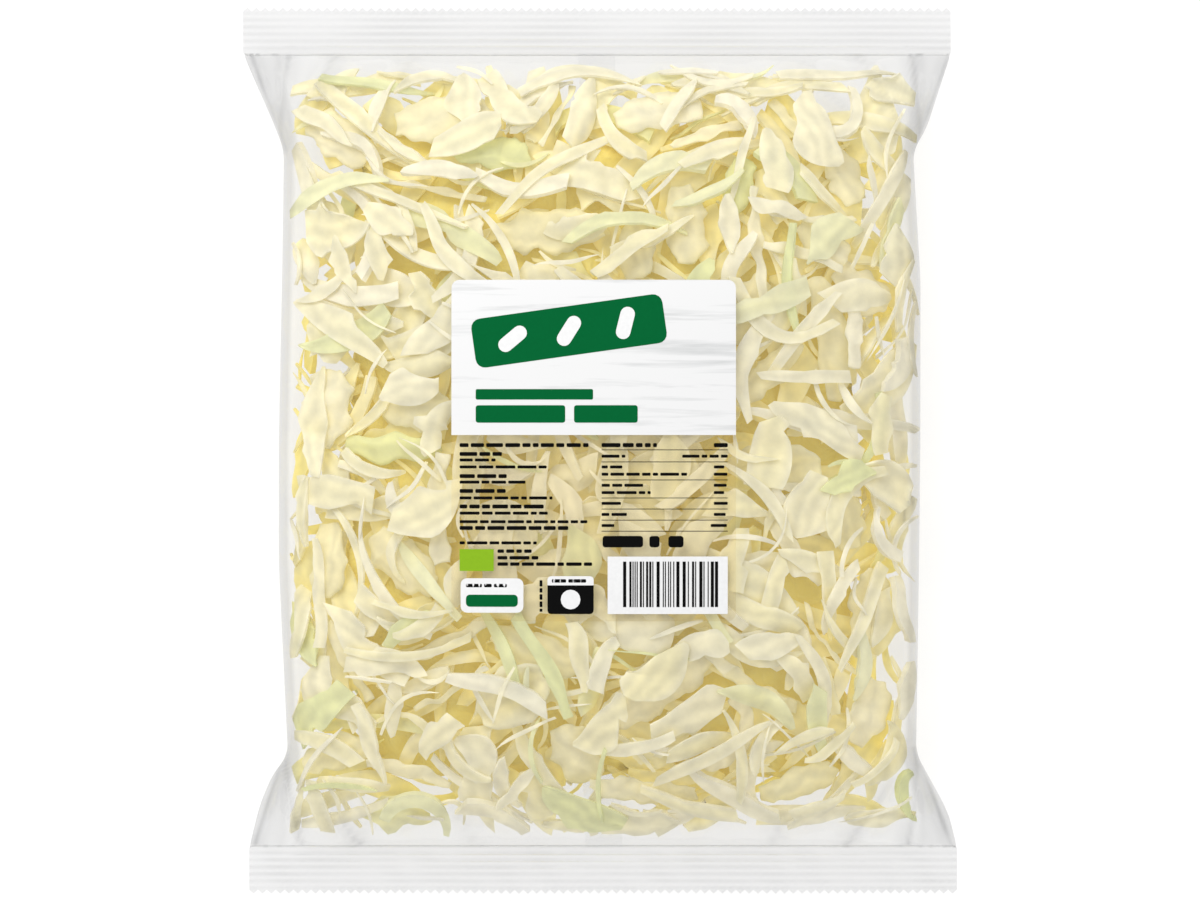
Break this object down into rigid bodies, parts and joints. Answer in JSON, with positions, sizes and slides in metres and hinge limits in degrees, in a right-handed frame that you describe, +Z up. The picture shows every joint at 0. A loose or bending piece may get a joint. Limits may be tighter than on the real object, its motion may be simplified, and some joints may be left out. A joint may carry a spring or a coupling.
{
  "type": "bag of shredded white cabbage",
  "caption": "Sealed clear film pillow bag filled with shredded white cabbage, lying flat, with crimped zig-zag end seals and a plain front label.",
  "frame": {"origin": "middle of the bag on the surface that it rests on", "axes": "+Z up through the front panel and label, +Y along the bag towards the top seal, +X to the right when the front is read from above"},
  "size_m": [0.232, 0.288, 0.0456],
  "materials": {
    "clear_film": "clear glossy plastic film",
    "sealed_film": "crimped double film, hazier than the bag",
    "label_face": "white printed sticker, clear and smoky in its lower half",
    "packed_cabbage": "shredded raw cabbage, moist",
    "cabbage_leaf": "raw cabbage leaf, waxy and slightly translucent",
    "green_leaf": "raw yellow-green cabbage leaf, waxy",
    "cabbage_strip": "raw cut cabbage strip, moist",
    "cabbage_rib": "raw cut cabbage midrib, crisp and moist"
  },
  "bodies": {
    "root": {"back_seam": "clear_film", "bottom_seal": "sealed_film", "cabbage_cupped_leaf_piece_01": "cabbage_leaf", "cabbage_cupped_leaf_piece_02": "cabbage_leaf", "cabbage_green_leaf_piece_01": "green_leaf", "cabbage_green_leaf_piece_02": "green_leaf", "cabbage_green_leaf_piece_03": "green_leaf", "cabbage_leaf_piece_01": "cabbage_leaf", "cabbage_leaf_piece_02": "cabbage_leaf", "cabbage_leaf_piece_03": "cabbage_leaf", "cabbage_leaf_piece_04": "cabbage_leaf", "cabbage_leaf_piece_05": "cabbage_leaf", "cabbage_leaf_piece_06": "cabbage_leaf", "cabbage_leaf_piece_07": "cabbage_leaf", "cabbage_leaf_piece_08": "cabbage_leaf", "cabbage_leaf_piece_09": "cabbage_leaf", "cabbage_leaf_piece_10": "cabbage_leaf", "cabbage_leaf_piece_11": "cabbage_leaf", "cabbage_leaf_piece_12": "cabbage_leaf", "cabbage_leaf_piece_13": "cabbage_leaf", "cabbage_leaf_piece_14": "cabbage_leaf", "cabbage_leaf_piece_15": "cabbage_leaf", "cabbage_leaf_piece_16": "cabbage_leaf", "cabbage_leaf_piece_17": "cabbage_leaf", "cabbage_leaf_piece_18": "cabbage_leaf", "cabbage_leaf_piece_19": "cabbage_leaf", "cabbage_leaf_piece_20": "cabbage_leaf", "cabbage_leaf_piece_21": "cabbage_leaf", "cabbage_leaf_piece_22": "cabbage_leaf", "cabbage_leaf_piece_23": "cabbage_leaf", "cabbage_leaf_piece_24": "cabbage_leaf", "cabbage_leaf_piece_25": "cabbage_leaf", "cabbage_leaf_piece_26": "cabbage_leaf", "cabbage_rib_slice_01": "cabbage_rib", "cabbage_rib_slice_02": "cabbage_rib", "cabbage_rib_slice_03": "cabbage_rib", "cabbage_sliver_01": "cabbage_strip", "cabbage_sliver_02": "cabbage_strip", "cabbage_sliver_03": "cabbage_strip", "cabbage_sliver_04": "cabbage_strip", "cabbage_sliver_05": "cabbage_strip", "cabbage_strip_01": "cabbage_strip", "cabbage_strip_02": "cabbage_strip", "cabbage_strip_03": "cabbage_strip", "cabbage_strip_04": "cabbage_strip", "cabbage_strip_05": "cabbage_strip", "cabbage_strip_06": "cabbage_strip", "cabbage_strip_07": "cabbage_strip", "cabbage_strip_08": "cabbage_strip", "cabbage_strip_09": "cabbage_strip", "cabbage_strip_10": "cabbage_strip", "film_tube": "clear_film", "front_label": "label_face", "packed_shreds": "packed_cabbage", "top_seal": "sealed_film"}
  },
  "joints": []
}
